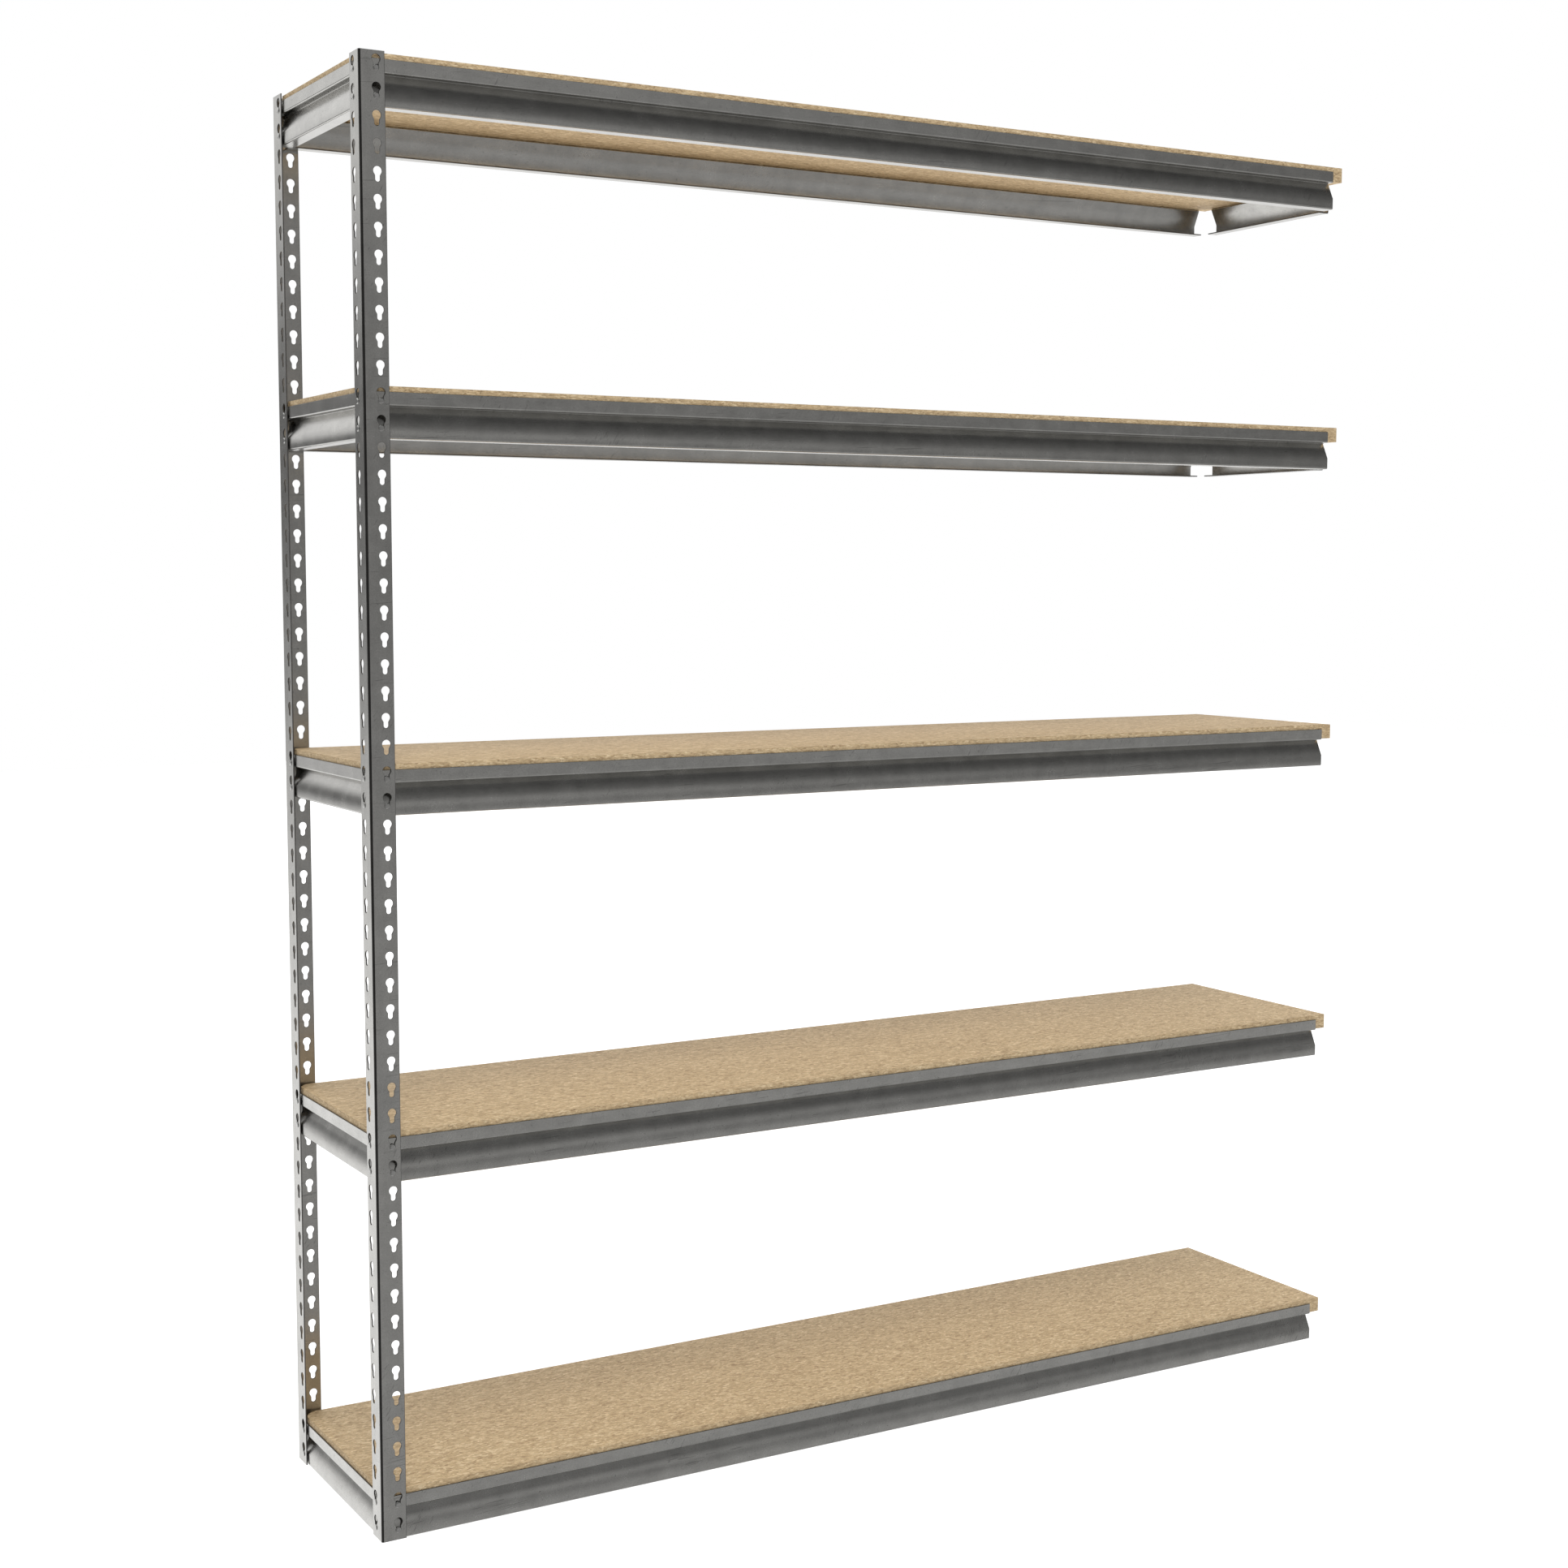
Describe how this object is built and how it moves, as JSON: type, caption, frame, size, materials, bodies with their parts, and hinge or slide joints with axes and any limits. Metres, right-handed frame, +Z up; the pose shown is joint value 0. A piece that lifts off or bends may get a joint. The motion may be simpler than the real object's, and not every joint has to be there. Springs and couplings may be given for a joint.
{
  "type": "boltless steel shelving",
  "caption": "Boltless rivet shelving add-on bay: slotted angle posts at one end, rivet-hooked steel beams and lift-out particleboard decks, open on the other end for a neighbouring bay.",
  "frame": {"origin": "middle of the footprint, on the floor", "axes": "+Z up the posts, +X along the shelves away from the posts, +Y to the back"},
  "size_m": [1.8332, 0.3836, 2.1336],
  "materials": {
    "post_steel": "satin grey coating",
    "beam_steel": "satin grey coating",
    "rivet_steel": "plated steel",
    "particleboard": "raw particleboard, fine flakes"
  },
  "bodies": {
    "root": {"front_post": "post_steel", "rear_post": "post_steel", "front_beam_1": "beam_steel", "rear_beam_1": "beam_steel", "left_beam_1": "beam_steel", "right_beam_1": "beam_steel", "rivets_1": "rivet_steel"},
    "deck_1": {"deck_1": "particleboard"},
    "shelf_frame_2": {"front_beam_2": "beam_steel", "rear_beam_2": "beam_steel", "left_beam_2": "beam_steel", "right_beam_2": "beam_steel", "rivets_2": "rivet_steel"},
    "deck_2": {"deck_2": "particleboard"},
    "shelf_frame_3": {"front_beam_3": "beam_steel", "rear_beam_3": "beam_steel", "left_beam_3": "beam_steel", "right_beam_3": "beam_steel", "rivets_3": "rivet_steel"},
    "deck_3": {"deck_3": "particleboard"},
    "shelf_frame_4": {"front_beam_4": "beam_steel", "rear_beam_4": "beam_steel", "left_beam_4": "beam_steel", "right_beam_4": "beam_steel", "rivets_4": "rivet_steel"},
    "deck_4": {"deck_4": "particleboard"},
    "shelf_frame_5": {"front_beam_5": "beam_steel", "rear_beam_5": "beam_steel", "left_beam_5": "beam_steel", "right_beam_5": "beam_steel", "rivets_5": "rivet_steel"},
    "deck_5": {"deck_5": "particleboard"}
  },
  "joints": [
    {"name": "deck_1_lift", "type": "slide", "parent": "root", "child": "deck_1", "axis": [0, 0, 1], "range_m": [0, 0.1]},
    {"name": "frame_2_unhook", "type": "slide", "parent": "root", "child": "shelf_frame_2", "axis": [0, 0, 1], "range_m": [0, 0.0118]},
    {"name": "deck_2_lift", "type": "slide", "parent": "shelf_frame_2", "child": "deck_2", "axis": [0, 0, 1], "range_m": [0, 0.1]},
    {"name": "frame_3_unhook", "type": "slide", "parent": "root", "child": "shelf_frame_3", "axis": [0, 0, 1], "range_m": [0, 0.0118]},
    {"name": "deck_3_lift", "type": "slide", "parent": "shelf_frame_3", "child": "deck_3", "axis": [0, 0, 1], "range_m": [0, 0.1]},
    {"name": "frame_4_unhook", "type": "slide", "parent": "root", "child": "shelf_frame_4", "axis": [0, 0, 1], "range_m": [0, 0.0118]},
    {"name": "deck_4_lift", "type": "slide", "parent": "shelf_frame_4", "child": "deck_4", "axis": [0, 0, 1], "range_m": [0, 0.1]},
    {"name": "frame_5_unhook", "type": "slide", "parent": "root", "child": "shelf_frame_5", "axis": [0, 0, 1], "range_m": [0, 0.0118]},
    {"name": "deck_5_lift", "type": "slide", "parent": "shelf_frame_5", "child": "deck_5", "axis": [0, 0, 1], "range_m": [0, 0.1]}
  ]
}
